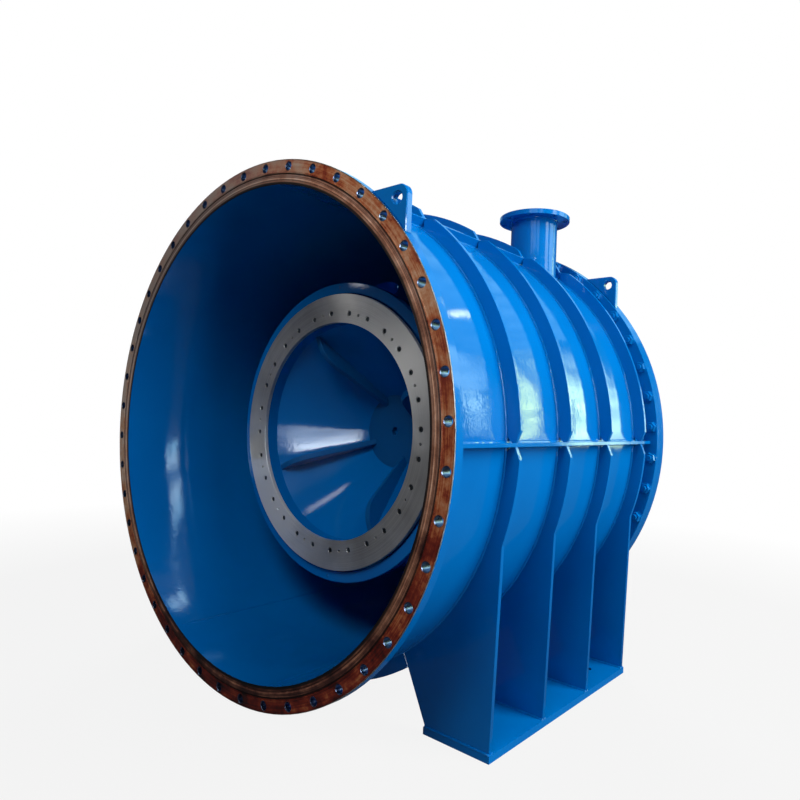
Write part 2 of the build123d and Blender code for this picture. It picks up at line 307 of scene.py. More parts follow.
@dataclass(frozen=True)
class RustedTurnedSteel(Finish):
    """Mild steel faced on a lathe, oiled and left to rust: turned lines inside, a red-brown band outside."""

    bore: float = 0.9
    face: float = 0.09
    rust: Stops = (
        (0.27, "#160705"), (0.36, "#5c1309"), (0.44, "#822c16"), (0.51, "#ac6036"), (0.6, "#c08e6a"),
        (0.74, "#d6bfae"))
    turned: Stops = (
        (0.26, "#180a0a"), (0.38, "#5e342a"), (0.5, "#ac785c"), (0.6, "#d0a48a"), (0.75, "#ead2c0"))
    bare: str = "#8a807b"
    bare_heading: Point = (-0.57, 0.0, 0.82)
    bare_share: Range = (1.0, 1.5, 0.0, 0.85)
    # Stops across the face from the bore out: the darkest, at the bore's bevelled edge, are grime and
    # painted shade; the rest are turned lines and bands
    lines: Stops = (
        (0.0, "#242424"), (0.09, "#2c2426"), (0.115, "#c0b8b4"), (0.17, "#b8b0ac"), (0.185, "#606060"),
        (0.205, WHITE), (0.25, WHITE), (0.27, "#8a8484"), (0.3, "#d8d0d0"), (0.325, "#6c6466"),
        (0.35, "#c8c0c0"), (0.375, "#c0b8b8"), (0.4, "#4c4444"), (0.44, "#3a3434"), (0.465, "#e8e8e8"),
        (0.93, "#e8e8e8"), (0.965, "#b0b0b0"), (1.0, WHITE))
    band_edge: float = 0.435
    ring_mm: float = 5.0
    streak_turns: float = 6.0
    patch_mm: float = 75.0
    patch_share: float = 0.7
    # Tone added from the foot up, and painted light added towards the left edge, where the lamps reach less
    height_lift: Range = (-0.9, 0.1, -0.13, 0.03)
    painted_light_left: Range = (-0.9, -0.5, 0.16, 0.0)
    roughness: Range = (0.0, 1.0, 0.3, 0.6)
    # The lathe's feed is about 0.4 mm, and its lines are drawn coarser so that they show
    lathe_mm: float = 2.2
    lathe_height_mm: float = 0.25
    lathe_strength: float = 0.4

    def shade(self, tree: NodeTree) -> dict:
        """Draws streaks round the axis, rust, turned lines, a darker lower half, a barer quarter, painted
        light at the left edge and painted shade at the bore.

        Args:
            tree: Tree of the material.
        Returns:
            The shader's inputs.
        """
        add = partial(add_node, tree)
        radius, spoke, parts = polar(tree)
        drawn = wound(tree, radius, spoke, self.ring_mm, self.streak_turns)
        streak = add("ShaderNodeTexNoise", {"Vector": drawn, "Scale": 1.0, "Detail": 3.0})
        place = add("ShaderNodeTexCoord").outputs["Object"]
        patch = add("ShaderNodeTexNoise", {
            "Vector": place, "Scale": per_metre(self.patch_mm), "Detail": 7.0, "Roughness": 0.7})
        mixed = add("ShaderNodeMix", {"Factor": self.patch_share, "A": streak, "B": patch},
                    data_type="FLOAT")
        height = add("ShaderNodeMapRange", {"Value": parts.outputs["Z"], RANGE: self.height_lift})
        # Painted light: the face is lighter towards the left edge
        side = add("ShaderNodeMapRange", {"Value": parts.outputs["X"], RANGE: self.painted_light_left})
        lift = add("ShaderNodeMath", {0: height, 1: side}, operation="ADD")
        tone = add("ShaderNodeMath", {0: mixed, 1: lift}, operation="ADD")
        share = add("ShaderNodeMapRange", {
            "Value": radius, "From Min": self.bore, "From Max": self.bore + self.face})
        rust = add("ShaderNodeValToRGB", {"Fac": tone}, self.rust)
        turned = add("ShaderNodeValToRGB", {"Fac": tone}, self.turned)
        # Multiplies in the stops across the face, with grime and painted shade at the bore's edge
        lines = add("ShaderNodeValToRGB", {"Fac": share}, self.lines)
        band = add("ShaderNodeMath", {0: share, 1: self.band_edge}, operation="GREATER_THAN")
        metal = add("ShaderNodeMix", {"Factor": band, "A": turned, "B": rust}, data_type="RGBA")
        facing = add("ShaderNodeVectorMath", {0: spoke, 1: self.bare_heading}, operation="DOT_PRODUCT")
        worn = add("ShaderNodeMath", {0: facing, 1: patch}, operation="ADD")
        scour = add("ShaderNodeMapRange", {"Value": worn, RANGE: self.bare_share})
        scoured = add("ShaderNodeMix", {"Factor": scour, "A": metal, "B": linear(self.bare)},
                      data_type="RGBA")
        lined = add("ShaderNodeMix", {"Factor": 1.0, "A": scoured, "B": lines}, data_type="RGBA",
                    blend_type="MULTIPLY")
        rough = add("ShaderNodeMapRange", {"Value": patch, RANGE: self.roughness})
        feed = add("ShaderNodeMath", {0: radius, 1: FULL_TURN * per_metre(self.lathe_mm)},
                   operation="MULTIPLY")
        groove = add("ShaderNodeMath", {0: feed}, operation="SINE")
        bump = add("ShaderNodeBump", {
            "Height": groove, "Distance": self.lathe_height_mm * MM, "Strength": self.lathe_strength})
        return {"Base Color": lined, "Roughness": rough, "Normal": bump}


@dataclass(frozen=True)
class TurnedStainless(Finish):
    """Stainless steel faced on a lathe: soft-sheened grey, with fine rings that pull reflections into a
    sheen, and a painted sheen.
    """

    bright: str = "#e8e6e2"
    grey: str = "#7e7c7a"
    # Turned rings are about 0.3 mm apart, and are drawn coarser so that they show
    ring_mm: float = 1.6
    ring_height_mm: float = 0.06
    # Painted sheen: the base colour turns bright in two opposite fans about this heading
    painted_sheen_heading: Point = (0.77, 0.0, 0.64)
    painted_sheen_power: float = 5.0
    painted_sheen_share: float = 0.45
    patch_mm: float = 140.0
    depth: Range = (0.15, 0.6, 0.0, 1.0)
    roughness: Range = (0.0, 1.0, 0.32, 0.52)
    drawn_out: float = 0.75
    drawn_turn: float = 0.25
    metallic: float = 0.6

    def shade(self, tree: NodeTree) -> dict:
        """Draws turning rings and a painted sheen in two opposite fans about the axis over a cloudy grey.

        Args:
            tree: Tree of the material.
        Returns:
            The shader's inputs.
        """
        add = partial(add_node, tree)
        radius, spoke, _ = polar(tree)
        drawn = wound(tree, radius, spoke, self.ring_mm, 1.0)
        ring = add("ShaderNodeTexNoise", {"Vector": drawn, "Scale": 1.0, "Detail": 2.0})
        place = add("ShaderNodeTexCoord").outputs["Object"]
        cloud = add("ShaderNodeTexNoise", {
            "Vector": place, "Scale": per_metre(self.patch_mm), "Detail": 4.0})
        # Painted sheen: lighter base colour in two opposite fans
        along = add("ShaderNodeVectorMath", {0: spoke, 1: self.painted_sheen_heading}, operation="DOT_PRODUCT")
        either = add("ShaderNodeMath", {0: along}, operation="ABSOLUTE")
        painted_sheen = add("ShaderNodeMath", {0: either, 1: self.painted_sheen_power}, operation="POWER")
        soft = add("ShaderNodeMix", {"Factor": 0.5, "A": ring, "B": cloud}, data_type="FLOAT")
        tone = add("ShaderNodeMix", {"Factor": self.painted_sheen_share, "A": soft, "B": painted_sheen}, data_type="FLOAT")
        depth = add("ShaderNodeMapRange", {"Value": tone, RANGE: self.depth})
        colour = add("ShaderNodeMix", {
            "Factor": depth, "A": linear(self.grey), "B": linear(self.bright)}, data_type="RGBA")
        rough = add("ShaderNodeMapRange", {"Value": cloud, RANGE: self.roughness})
        bump = add("ShaderNodeBump", {"Height": ring, "Distance": self.ring_height_mm * MM})
        spin = add("ShaderNodeTangent", direction_type="RADIAL", axis="Y")
        return {"Base Color": colour, "Roughness": rough, "Normal": bump, "Tangent": spin,
                "Anisotropic": self.drawn_out, "Anisotropic Rotation": self.drawn_turn,
                "Metallic": self.metallic}


@dataclass(frozen=True)
class BareMetal(Finish):
    """Machined metal with a little grime, bright with dull spots: holes, screws and bronze strips."""

    clean: str
    grime: str
    roughness: float = 0.2
    grime_roughness: float = 0.2
    metallic: float = 1.0
    patch_mm: float = 25.0

    def shade(self, tree: NodeTree) -> dict:
        """Mixes clean metal and grime in small patches.

        Args:
            tree: Tree of the material.
        Returns:
            The shader's inputs.
        """
        add = partial(add_node, tree)
        place = add("ShaderNodeTexCoord").outputs["Object"]
        patch = add("ShaderNodeTexNoise", {
            "Vector": place, "Scale": per_metre(self.patch_mm), "Detail": 3.0})
        colour = add("ShaderNodeMix", {
            "Factor": patch, "A": linear(self.clean), "B": linear(self.grime)}, data_type="RGBA")
        rough = add("ShaderNodeMapRange", {
            "Value": patch, "To Min": self.roughness, "To Max": self.roughness + self.grime_roughness})
        return {"Base Color": colour, "Roughness": rough, "Metallic": self.metallic}


@dataclass(frozen=True)
class Finishes:
    """The valve's materials, each built once."""

    enamel: Material
    satin: Material
    rust: Material
    stainless: Material
    drilled: Material
    screw: Material
    bronze: Material
    worn: Material

    @classmethod
    def build(cls) -> "Finishes":
        """Builds every material.

        Returns:
            The materials.
        """
        # Dull enamel whose darker film is painted shade on the cone's tip plate, its fins and the sleeve
        # plugs
        satin = GlossEnamel("#00528f", "#00477e", gloss=0.4, dull=0.55, shine=0.2)
        screw = BareMetal("#6f7376", "#34373a", roughness=0.25, metallic=0.9)
        return cls(
            enamel=GlossEnamel().build("gloss_enamel_blue"),
            satin=satin.build("dull_enamel_blue_painted_shade"),
            rust=RustedTurnedSteel().build("rusted_turned_steel"),
            stainless=TurnedStainless().build("turned_stainless_steel"),
            drilled=BareMetal("#8f9dbb", "#535f78").build("drilled_bright_steel"),
            screw=screw.build("oiled_steel_screw"),
            bronze=BareMetal("#b58a4a", "#8a6534", roughness=0.3).build("machined_bronze"),
            worn=BareMetal("#f0ece4", "#a89c8c", roughness=0.5).build("worn_steel_edge"),
        )


# Mesh helpers

MERGE = 2e-5
COPLANAR = math.radians(0.3)
EDGE_ANGLE = math.radians(60)
SMOOTH_ANGLE = math.radians(30)
TURNED_LIMIT = 0.08
# Y part of the normal of a face that is square to the axis, that leans to it, and that is a broken edge
SQUARE_ON = 0.9
LEANING = 0.5
BROKEN = 0.3


def link_piece(mesh: Mesh, name: str) -> Object:
    """Puts a mesh into the scene as a piece at the origin.

    Args:
        mesh: Mesh of the piece.
        name: Name of the piece.
    Returns:
        The piece.
    """
    piece = bpy.data.objects.new(name, mesh)
    bpy.context.scene.collection.objects.link(piece)
    return piece


def plain_mesh(name: str, points: Sequence, faces: Sequence = (), edges: Sequence = ()) -> Mesh:
    """Makes a mesh from points.

    Args:
        name: Name of the mesh.
        points: Places of the points.
        faces: Point numbers of each face.
        edges: Point numbers of each loose edge.
    Returns:
        The mesh.
    """
    mesh = bpy.data.meshes.new(name)
    mesh.from_pydata(points, edges, faces)
    return mesh


def made_mesh(bm: bmesh.types.BMesh, name: str) -> Mesh:
    """Turns a working mesh into a mesh with smooth sides and sharp edges.

    Args:
        bm: Working mesh, which is freed.
        name: Name of the mesh.
    Returns:
        The mesh.
    """
    mesh = bpy.data.meshes.new(name)
    bm.to_mesh(mesh)
    bm.free()
    mesh.shade_smooth()
    mesh.set_sharp_from_angle(angle=SMOOTH_ANGLE)
    return mesh


def bridge(bm: bmesh.types.BMesh, rings: Sequence[list], looped: bool = False) -> None:
    """Joins rings of points with faces.

    Args:
        bm: Working mesh.
        rings: Rings with the same number of points, in order.
        looped: Whether the last ring joins the first. Otherwise both ends are capped.
    """
    following = [*rings[1:], rings[0]] if looped else rings[1:]
    for low, high in zip(rings, following):
        for i in range(len(low)):
            bm.faces.new((low[i - 1], low[i], high[i], high[i - 1]))
    if not looped:
        bm.faces.new(rings[0])
        bm.faces.new(rings[-1])


def round_normals(mesh: Mesh, centre: Vector, axis: int) -> None:
    """Gives the faces that are turned about an axis their true round normals, and leaves flat ones flat.

    Args:
        mesh: Mesh to shade.
        centre: Point on the axis.
        axis: Index of the axis' direction.
    """
    normals = [Vector(corner.vector) for corner in mesh.corner_normals]
    for face in mesh.polygons:
        arm = across(face.center - centre, axis)
        if arm.length < MM:
            continue
        arm.normalize()
        along = face.normal[axis]
        outward = face.normal.dot(arm)
        if across(face.normal - arm * outward, axis).length > TURNED_LIMIT:
            continue
        reach = math.copysign(math.sqrt(max(0.0, 1.0 - along * along)), outward)
        for loop in face.loop_indices:
            spoke = across(mesh.vertices[mesh.loops[loop].vertex_index].co - centre, axis)
            normal = spoke.normalized() * reach
            normal[axis] = along
            normals[loop] = normal
    mesh.normals_split_custom_set(normals)


def dressed_copy(node: str, edge_mm: float = 0.0, centre: Vector = CENTRE, axis: int = Y_AXIS) -> Object:
    """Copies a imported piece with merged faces, broken edges and round normals.

    Args:
        node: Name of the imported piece.
        edge_mm: Width of the broken edges, or 0 for sharp ones.
        centre: Point on the axis that the piece is turned about.
        axis: Index of that axis' direction.
    Returns:
        The copy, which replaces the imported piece.
    """
    bm = bmesh.new()
    bm.from_mesh(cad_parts[node].data)
    bmesh.ops.remove_doubles(bm, verts=bm.verts, dist=MERGE)
    bmesh.ops.dissolve_limit(bm, angle_limit=COPLANAR, verts=bm.verts, edges=bm.edges)
    if edge_mm:
        edges = [e for e in bm.edges if e.is_manifold and e.calc_face_angle_signed(0.0) > EDGE_ANGLE]
        bmesh.ops.bevel(bm, geom=edges, offset=edge_mm * MM, segments=1, profile=0.5, affect="EDGES",
                        clamp_overlap=False)
    mesh = made_mesh(bm, node + "_dressed")
    round_normals(mesh, centre, axis)
    piece = link_piece(mesh, node + "_dressed")
    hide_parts(node)
    return piece


def set_finish(piece: Object, main: Material, rules: Sequence[FaceRule] = ()) -> None:
    """Gives a piece its finish, with other finishes on the faces that rules pick.

    Args:
        piece: Piece to dress.
        main: Finish of all other faces.
        rules: Tests of a face, each with its finish. The first that holds wins.
    """
    mesh = piece.data
    mesh.materials.clear()
    for material in (main, *(finish for _, finish in rules)):
        mesh.materials.append(material)
    for face in mesh.polygons:
        face.material_index = next((i for i, (test, _) in enumerate(rules, 1) if test(face)), 0)


def lathe(name: str, profile: Sequence[tuple[float, float]], segments: int) -> Object:
    """Turns a closed profile about the valve's axis.

    Args:
        name: Name of the piece.
        profile: Points of radius and Y, in order round the section.
        segments: Steps round the axis.
    Returns:
        The turned piece.
    """
    bm = bmesh.new()
    turns = [FULL_TURN * step / segments for step in range(segments)]
    rings = [[bm.verts.new((r * math.cos(t), y, CENTRE.z + r * math.sin(t))) for r, y in profile]
             for t in turns]
    bridge(bm, rings, looped=True)
    bmesh.ops.recalc_face_normals(bm, faces=bm.faces)
    mesh = made_mesh(bm, name)
    round_normals(mesh, CENTRE, Y_AXIS)
    return link_piece(mesh, name)


# Geometry Nodes trees

RIPPLE_FROM = (0.3, 0.7)
BEAD_SIDES = 6


def node_group(name: str, sizes: dict[str, str]) -> tuple[NodeTree, Node, Node]:
    """Starts a Geometry Nodes tree with a geometry input, named inputs and a geometry output.

    Args:
        name: Name of the tree.
        sizes: Type of each named input.
    Returns:
        The tree, its input node and its output node.
    """
    tree = bpy.data.node_groups.new(name, "GeometryNodeTree")
    for label, kind in {"Geometry": "Geometry", **sizes}.items():
        tree.interface.new_socket(label, in_out="INPUT", socket_type="NodeSocket" + kind)
    tree.interface.new_socket("Geometry", in_out="OUTPUT", socket_type="NodeSocketGeometry")
    return tree, add_node(tree, "NodeGroupInput"), add_node(tree, "NodeGroupOutput")


def fastener_ring_tree() -> NodeTree:
    """Builds a tree that sets a fastener round a circle across the valve's axis, each turned by chance.

    Returns:
        The tree.
    """
    tree, given, result = node_group("fastener_ring", {
        "Count": "Int", "Radius": "Float", "First Angle": "Float", "Centre": "Vector", "Seed": "Int",
        "Finish": "Material"})
    add = partial(add_node, tree)
    size = given.outputs
    step = add("ShaderNodeMath", {0: FULL_TURN, 1: size["Count"]}, operation="DIVIDE")
    index = add("GeometryNodeInputIndex")
    turn = add("ShaderNodeMath", {0: index, 1: step, 2: size["First Angle"]}, operation="MULTIPLY_ADD")
    arm = add("ShaderNodeCombineXYZ", {"X": size["Radius"]})
    spoke = add("ShaderNodeVectorRotate", {"Vector": arm, "Axis": (0.0, -1.0, 0.0), "Angle": turn},
                rotation_type="AXIS_ANGLE")
    place = add("ShaderNodeVectorMath", {0: spoke, 1: size["Centre"]}, operation="ADD")
    circle = add("GeometryNodePoints", {"Count": size["Count"], "Position": place})
    chance = add("FunctionNodeRandomValue", {"Max": (0.0, FULL_TURN, 0.0), "Seed": size["Seed"]},
                 data_type="FLOAT_VECTOR")
    spread = add("GeometryNodeInstanceOnPoints", {
        "Points": circle, "Instance": size["Geometry"], "Rotation": chance})
    real = add("GeometryNodeRealizeInstances", {"Geometry": spread})
    dressed = add("GeometryNodeSetMaterial", {"Geometry": real, "Material": size["Finish"]})
    wire(tree, result, {0: dressed})
    return tree


def weld_bead_tree() -> NodeTree:
    """Builds a tree that lays an uneven round bead along lines.

    Returns:
        The tree.
    """
    tree, given, result = node_group("weld_bead", {
        "Bead Radius": "Float", "Ripple": "Float", "Ripple Size": "Float", "Step": "Float",
        "Finish": "Material"})
    add = partial(add_node, tree)
    size = given.outputs
    line = add("GeometryNodeMeshToCurve", {"Mesh": size["Geometry"]})
    steps = add("GeometryNodeResampleCurve", {"Curve": line, "Length": size["Step"]}, mode="LENGTH")
    place = add("GeometryNodeInputPosition")
    scale = add("ShaderNodeMath", {0: 1.0, 1: size["Ripple Size"]}, operation="DIVIDE")
    ripple = add("ShaderNodeTexNoise", {"Vector": place, "Scale": scale, "Detail": 2.0})
    swell = add("ShaderNodeMapRange", {"Value": ripple, RANGE: (*RIPPLE_FROM, size["Ripple"], 1.0)})
    bead = add("ShaderNodeMath", {0: swell, 1: size["Bead Radius"]}, operation="MULTIPLY")
    section = add("GeometryNodeCurvePrimitiveCircle", {"Resolution": BEAD_SIDES, "Radius": 1.0})
    tube = add("GeometryNodeCurveToMesh", {
        "Curve": steps, "Profile Curve": section, "Scale": bead, "Fill Caps": True})
    smooth = add("GeometryNodeSetShadeSmooth", {"Geometry": tube})
    real = add("GeometryNodeRealizeInstances", {"Geometry": smooth})
    dressed = add("GeometryNodeSetMaterial", {"Geometry": real, "Material": size["Finish"]})
    wire(tree, result, {0: dressed})
    return tree


def run_tree(name: str, seed_mesh: Mesh, tree: NodeTree, values: dict) -> Object:
    """Runs a tree on a mesh and keeps the result as a plain mesh.

    Args:
        name: Name of the piece.
        seed_mesh: Mesh that the tree starts from.
        tree: Geometry Nodes tree.
        values: Values of the tree's named inputs.
    Returns:
        The finished piece.
    """
    maker = link_piece(seed_mesh, name + "_maker")
    modifier = maker.modifiers.new("maker", "NODES")
    modifier.node_group = tree
    for item in tree.interface.items_tree:
        if item.in_out == "INPUT" and item.name in values:
            modifier[item.identifier] = values[item.name]
    graph = bpy.context.evaluated_depsgraph_get()
    mesh = bpy.data.meshes.new_from_object(maker.evaluated_get(graph), depsgraph=graph)
    maker.modifiers.remove(modifier)
    bpy.data.objects.remove(maker)
    mesh.name = name
    return link_piece(mesh, name)


# Fasteners

HEX_SIDES = 6


def corner_ring(bm: bmesh.types.BMesh, reach: Callable[[float], float], along: float, steps: int) -> list:
    """Adds a ring of points round the Y axis.

    Args:
        bm: Working mesh.
        reach: Distance from the axis at an angle.
        along: Place along the axis.
        steps: Number of points.
    Returns:
        The points.
    """
    turns = [FULL_TURN * i / steps for i in range(steps)]
    return [bm.verts.new((reach(t) * math.cos(t), along, reach(t) * math.sin(t))) for t in turns]


@dataclass(frozen=True)
class HexNut:
    """Hexagon nut on a washer with the end of its bolt, with its seat at the origin."""

    across_flats: float = 41 * MM
    height: float = 21 * MM
    washer_radius: float = 25 * MM
    washer_thickness: float = 4 * MM
    bolt_end: float = 9 * MM
    facing: float = -1.0
    bolt_radius: float = 13.5 * MM
    bolt_sides: int = 12
    washer_sides: int = 20
    washer_chamfer: float = 1 * MM
    chamfer: float = 2 * MM

    def prism(self, bm: bmesh.types.BMesh, radius: float, sides: int, start: float, end: float,
              chamfer: float) -> None:
        """Adds a prism along Y with a chamfered outer end.

        Args:
            bm: Mesh that gets the prism.
            radius: Distance of the corners from the axis.
            sides: Number of sides.
            start: Distance of the inner end from the seat.
            end: Distance of the outer end from the seat.
            chamfer: Size of the chamfer.
        """
        ends = ((radius, start), (radius, end - chamfer), (radius - chamfer, end))
        bridge(bm, [corner_ring(bm, lambda t, r=reach: r, self.facing * along, sides)
                    for reach, along in ends])

    def build(self, name: str) -> Mesh:
        """Builds the nut, its washer and its bolt end.

        Args:
            name: Name of the mesh.
        Returns:
            The mesh.
        """
        bm = bmesh.new()
        low = self.washer_thickness
        top = low + self.height
        self.prism(bm, self.washer_radius, self.washer_sides, 0.0, low, self.washer_chamfer)
        self.prism(bm, self.across_flats / math.sqrt(3), HEX_SIDES, low, top, self.chamfer)
        self.prism(bm, self.bolt_radius, self.bolt_sides, top, top + self.bolt_end, self.chamfer)
        bmesh.ops.recalc_face_normals(bm, faces=bm.faces)
        return made_mesh(bm, name)


@dataclass(frozen=True)
class SocketScrew:
    """Round screw head with a hexagon socket, facing -Y, with its face at the origin."""

    radius: float = 9.5 * MM
    height: float = 8 * MM
    socket_flats: float = 10 * MM
    socket_depth: float = 6 * MM
    chamfer: float = 1 * MM
    steps: int = 24

    def hexagon(self, turn: float) -> float:
        """Distance of the socket's wall from the axis at an angle."""
        half = math.pi / HEX_SIDES
        return self.socket_flats / 2 / math.cos((turn + half) % (2 * half) - half)

    def build(self, name: str) -> Mesh:
        """Builds the head as rings from its foot over the chamfer into the socket.

        Args:
            name: Name of the mesh.
        Returns:
            The mesh.
        """
        bm = bmesh.new()
        rings = ((lambda t: self.radius, self.height), (lambda t: self.radius, self.chamfer),
                 (lambda t: self.radius - self.chamfer, 0.0), (self.hexagon, 0.0),
                 (self.hexagon, self.socket_depth))
        bridge(bm, [corner_ring(bm, reach, along, self.steps) for reach, along in rings])
        bmesh.ops.recalc_face_normals(bm, faces=bm.faces)
        return made_mesh(bm, name)


# Weld lines


def ring_line(radius: float, y: float, step: float = 3.0) -> Line:
    """Points of a circle about the valve's axis.

    Args:
        radius: Radius of the circle.
        y: Place along the axis.
        step: Step in degrees.
    Returns:
        The circle's points, with the first one again at the end.
    """
    turns = [math.radians(step * i) for i in range(round(360 / step) + 1)]
    return [spoke_point(radius, t, y) for t in turns]


def spoke_point(radius: float, turn: float, y: float) -> Vector:
    """Point at a radius and an angle about the valve's axis."""
    return CENTRE + Vector((radius * math.cos(turn), y, radius * math.sin(turn)))


def weld_mesh(name: str, lines: Iterable[Line]) -> Mesh:
    """Makes the edges that beads are laid along.

    Args:
        name: Name of the mesh.
        lines: Lines of points.
    Returns:
        A mesh of loose edges.
    """
    points: list[Vector] = []
    edges: list[tuple[int, int]] = []
    for line in lines:
        first = len(points)
        points.extend(line)
        edges.extend((first + i, first + i + 1) for i in range(len(line) - 1))
    return plain_mesh(name, points, edges=edges)


# Sub-assemblies


@dataclass
class Workshop:
    """What every sub-assembly shares: finishes, trees and the list of finished pieces."""

    finishes: Finishes
    fastener_ring: NodeTree = field(default_factory=fastener_ring_tree)
    weld_bead: NodeTree = field(default_factory=weld_bead_tree)
    bead_radius: float = 7 * MM
    bead_step: float = 9 * MM
    bead_ripple: float = 0.7
    ripple_size: float = 22 * MM
    pieces: list[Object] = field(default_factory=list)

    def finish(self, piece: Object, body: Body, slot: Slot) -> None:
        """Sets a finished piece on its body and reports it.

        Args:
            piece: Finished piece.
            body: Body that it rides on.
            slot: Slot of its finish; not used.
        """
        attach(piece, body.value)
        self.pieces.append(piece)
        log.info("%s: %d faces on %s", piece.name, len(piece.data.polygons), body.value)

    def paint(self, nodes: Iterable[str], edge_mm: float = 0.0, body: Body = Body.VALVE,
              centre: Vector = CENTRE, axis: int = Y_AXIS, satin: bool = False) -> None:
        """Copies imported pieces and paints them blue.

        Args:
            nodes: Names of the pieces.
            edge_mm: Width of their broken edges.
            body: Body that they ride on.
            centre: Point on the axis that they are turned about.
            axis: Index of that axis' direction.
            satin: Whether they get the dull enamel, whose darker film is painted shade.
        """
        for node in nodes:
            piece = dressed_copy(node, edge_mm, centre, axis)
            set_finish(piece, self.finishes.satin if satin else self.finishes.enamel)
            self.finish(piece, body, Slot.PAINT)

    def weld(self, name: str, lines: Iterable[Line], scale: float = 1.0) -> None:
        """Lays painted beads along lines.

        Args:
            name: Name of the piece.
            lines: Lines of points.
            scale: Size of the bead against the usual one.
        """
        piece = run_tree(name, weld_mesh(name, lines), self.weld_bead, {
            "Bead Radius": self.bead_radius * scale, "Ripple": self.bead_ripple,
            "Ripple Size": self.ripple_size, "Step": self.bead_step, "Finish": self.finishes.enamel})
        self.finish(piece, Body.VALVE, Slot.PAINT)

    def ring_of(self, name: str, mesh: Mesh, count: int, radius: float, y: float, first: float,
                finish: Material, slot: Slot, body: Body = Body.VALVE) -> None:
        """Sets a fastener round a circle.

        Args:
            name: Name of the piece.
            mesh: One fastener, facing along Y.
            count: Number of fasteners.
            radius: Radius of their circle.
            y: Place along the axis.
            first: Angle of the first in degrees.
            finish: Their material.
            slot: Slot of that finish.
            body: Body that they ride on.
        """
        piece = run_tree(name, mesh, self.fastener_ring, {
            "Count": count, "Radius": radius, "First Angle": math.radians(first),
            "Centre": (CENTRE.x, y, CENTRE.z), "Seed": count, "Finish": finish})
        self.finish(piece, body, slot)


class SubAssembly(ABC):
    """A group of pieces that is built and dressed together."""

    @abstractmethod
    def build(self, shop: Workshop) -> None:
        """Builds and dresses the pieces with what a workshop holds."""


@dataclass
class DischargeFlange(SubAssembly):
    """Bare machined flange at the discharge, with its serrated raised face on the shell's end."""

    edge_mm: float = 2.0
    corner_mm: float = 8.0
    face_depth: float = 4 * MM
    land: float = 1.2 * MM
    land_foot: float = 1 * MM
    shell_face: tuple[float, float] = (0.9, 14.5)
    band: tuple[float, float] = (17.5, 35.0)
    serration_start: float = 37.0
    serration_pitch: float = 3.6
    serration_count: int = 3
    segments: int = 240

    def lands(self, bore: float) -> list[tuple[float, float]]:
        """Works out the raised rings on the face.

        Args:
            bore: Radius of the shell's bore.
        Returns:
            Inner and outer radius of each ring.
        """
        steps = [self.serration_start + i * self.serration_pitch for i in range(self.serration_count)]
        widths = [self.shell_face, self.band] + [(s, s + self.serration_pitch / 2) for s in steps]
        return [(bore + a * MM, bore + b * MM) for a, b in widths]

    def build(self, shop: Workshop) -> None:
        """Dresses the flange and lays the raised rings on its face.

        Args:
            shop: Shared workshop.
        """
        flange = measure("discharge_flange")
        rim = flange.outer - self.corner_mm * MM

        def on_face(face: MeshPolygon) -> bool:
            """Whether a face is on the machined front."""
            return face.normal.y < -LEANING and face.center.y < flange.front + self.face_depth

        def in_hole(face: MeshPolygon) -> bool:
            """Whether a face is a bolt hole's wall."""
            radius = across(face.center - CENTRE, Y_AXIS).length
            return abs(face.normal.y) < SQUARE_ON and flange.inner + MM < radius < rim

        def on_corner(face: MeshPolygon) -> bool:
            """Whether a face is on the broken front edge of the rim."""
            leaning = -SQUARE_ON < face.normal.y < -BROKEN
            return leaning and across(face.center - CENTRE, Y_AXIS).length > rim

        finishes = shop.finishes
        piece = dressed_copy("discharge_flange", self.edge_mm)
        set_finish(piece, finishes.enamel, [
            (in_hole, finishes.drilled), (on_corner, finishes.worn), (on_face, finishes.rust)])
        shop.finish(piece, Body.VALVE, Slot.RUST)
        top = flange.front - self.land
        chamfer = self.land / 2
        foot = flange.front + self.land_foot
        for i, (inner, outer) in enumerate(self.lands(measure("shell_lower").inner), 1):
            profile = [(inner, foot), (inner, top + chamfer), (inner + chamfer, top),
                       (outer - chamfer, top), (outer, top + chamfer), (outer, foot)]
            ring = lathe(f"flange_face_ring_{i}", profile, self.segments)
            set_finish(ring, finishes.rust)
            shop.finish(ring, Body.VALVE, Slot.RUST)


@dataclass
class Shell(SubAssembly):
    """Rolled shell with its rear flange, end plate, painted bolts and welds."""

    edge_mm: float = 2.0
    bolt_count: int = 44
    bolt_edge: float = 25 * MM
    nut: HexNut = HexNut()
    head: HexNut = HexNut(36 * MM, 9 * MM, 19 * MM, 2 * MM, bolt_end=1 * MM, facing=1.0)
    flange_bead: float = 1.3
    seam_bead: float = 0.5
    seam_angle: float = -115.4
    seam_inset: float = 20 * MM

    def build(self, shop: Workshop) -> None:
        """Dresses the shell, bolts its rear flange to the end plate and welds its flanges.

        Args:
            shop: Shared workshop.
        """
        shell = measure("shell_lower")

        def front_end(face: MeshPolygon) -> bool:
            """Whether a face is on the shell's bare front end."""
            return face.normal.y < -SQUARE_ON and face.center.y < shell.front + MM

        enamel = shop.finishes.enamel
        for node in ("shell_upper", "shell_lower"):
            piece = dressed_copy(node)
            set_finish(piece, enamel, [(front_end, shop.finishes.rust)])
            shop.finish(piece, Body.VALVE, Slot.PAINT)
        shop.paint(("rear_flange", "end_plate"), self.edge_mm)
        rear = measure("rear_flange")
        plate = measure("end_plate")
        circle = rear.outer - self.bolt_edge
        first = 180 / self.bolt_count
        shop.ring_of("rear_flange_nuts", self.nut.build("rear_nut"), self.bolt_count, circle, rear.front,
                     first, enamel, Slot.PAINT)
        shop.ring_of("end_plate_bolts", self.head.build("end_bolt"), self.bolt_count, circle, plate.back,
                     first, enamel, Slot.PAINT)
        seats = (measure("discharge_flange").back, rear.front)
        shop.weld("flange_welds", [ring_line(shell.outer, y) for y in seats], self.flange_bead)
        turn = math.radians(self.seam_angle)
        ends = (shell.front + self.seam_inset, plate.front)
        shop.weld("shell_bore_seam", [[spoke_point(shell.inner, turn, y) for y in ends]], self.seam_bead)


